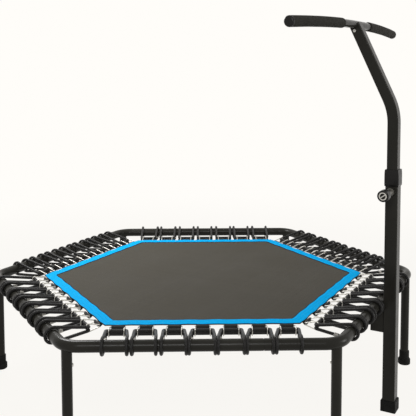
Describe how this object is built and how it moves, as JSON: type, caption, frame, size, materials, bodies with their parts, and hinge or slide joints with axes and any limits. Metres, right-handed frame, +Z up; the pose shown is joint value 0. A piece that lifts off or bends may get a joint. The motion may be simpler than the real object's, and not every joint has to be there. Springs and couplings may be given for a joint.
{
  "type": "mini trampoline",
  "caption": "Hexagonal mini trampoline: a mat with a blue border hung on bungee cords in a black tube frame on legs, with a height-adjustable handlebar on a post.",
  "frame": {"origin": "on the floor, in the middle of the part's outline seen from above, 15 mm from the middle of the mat towards the post", "axes": "+Z up, +X from the mat towards the post, +Y along the handlebar, mm source and metre record"},
  "size_m": [1.1658, 1.277, 1.0431],
  "materials": {
    "frame_paint": "satin black powder coat",
    "foot_rubber": "matt black rubber",
    "plated_steel": "bright plating",
    "black_plastic": "moulded black plastic",
    "cord_cover": "black braided cover",
    "mat_fabric": "dark grey woven sheet",
    "border_fabric": "blue webbing",
    "tab_fabric": "black webbing",
    "grip_foam": "black foam"
  },
  "bodies": {
    "frame": {"frame_section_1": "frame_paint", "frame_section_2": "frame_paint", "frame_section_3": "frame_paint", "frame_section_4": "frame_paint", "frame_section_5": "frame_paint", "frame_section_6": "frame_paint", "leg_1": "frame_paint", "leg_2": "frame_paint", "leg_3": "frame_paint", "leg_4": "frame_paint", "leg_5": "frame_paint", "leg_6": "frame_paint", "leg_foot_1": "foot_rubber", "leg_foot_2": "foot_rubber", "leg_foot_3": "foot_rubber", "leg_foot_4": "foot_rubber", "leg_foot_5": "foot_rubber", "leg_foot_6": "foot_rubber", "leg_bolts": "plated_steel", "post_bracket": "frame_paint", "bracket_bolts": "plated_steel", "lower_post": "frame_paint", "post_foot": "foot_rubber", "post_collar": "black_plastic", "weld_nut": "frame_paint", "pin_barrel": "plated_steel", "bungee_side_1": "cord_cover", "bungee_side_2": "cord_cover", "bungee_side_3": "cord_cover", "bungee_side_4": "cord_cover", "bungee_side_5": "cord_cover", "bungee_side_6": "cord_cover", "cord_clips": "plated_steel", "lock_spring": "plated_steel"},
    "mat": {"jump_mat": "mat_fabric", "border_webbing": "border_fabric", "webbing_tabs": "tab_fabric", "rings_side_1": "plated_steel", "rings_side_2": "plated_steel", "rings_side_3": "plated_steel", "rings_side_4": "plated_steel", "rings_side_5": "plated_steel", "rings_side_6": "plated_steel"},
    "handle": {"upper_post": "frame_paint", "post_glide": "black_plastic", "handlebar": "frame_paint", "handlebar_screw": "plated_steel", "grip_left": "grip_foam", "grip_right": "grip_foam", "grip_cap_left": "black_plastic", "grip_cap_right": "black_plastic"},
    "lock_pin": {"lock_pin": "plated_steel", "lock_knob": "black_plastic", "knob_ring": "plated_steel"}
  },
  "joints": [
    {"name": "mat_bounce", "type": "slide", "parent": "frame", "child": "mat", "axis": [0, 0, 1], "range_m": [-0.15, 0.03], "stiffness_N_per_m": 8000, "springref_m": 0.0025, "deforming": ["bungee_side_1", "bungee_side_2", "bungee_side_3", "bungee_side_4", "bungee_side_5", "bungee_side_6", "cord_clips"]},
    {"name": "handlebar_height", "type": "slide", "parent": "frame", "child": "handle", "axis": [0, 0, 1], "range_m": [0, 0.2]},
    {"name": "lock_pin_pull", "type": "slide", "parent": "frame", "child": "lock_pin", "axis": [0, -1, 0], "range_m": [-0.008, 0], "stiffness_N_per_m": 800, "springref_m": -0.012, "deforming": ["lock_spring"]}
  ]
}
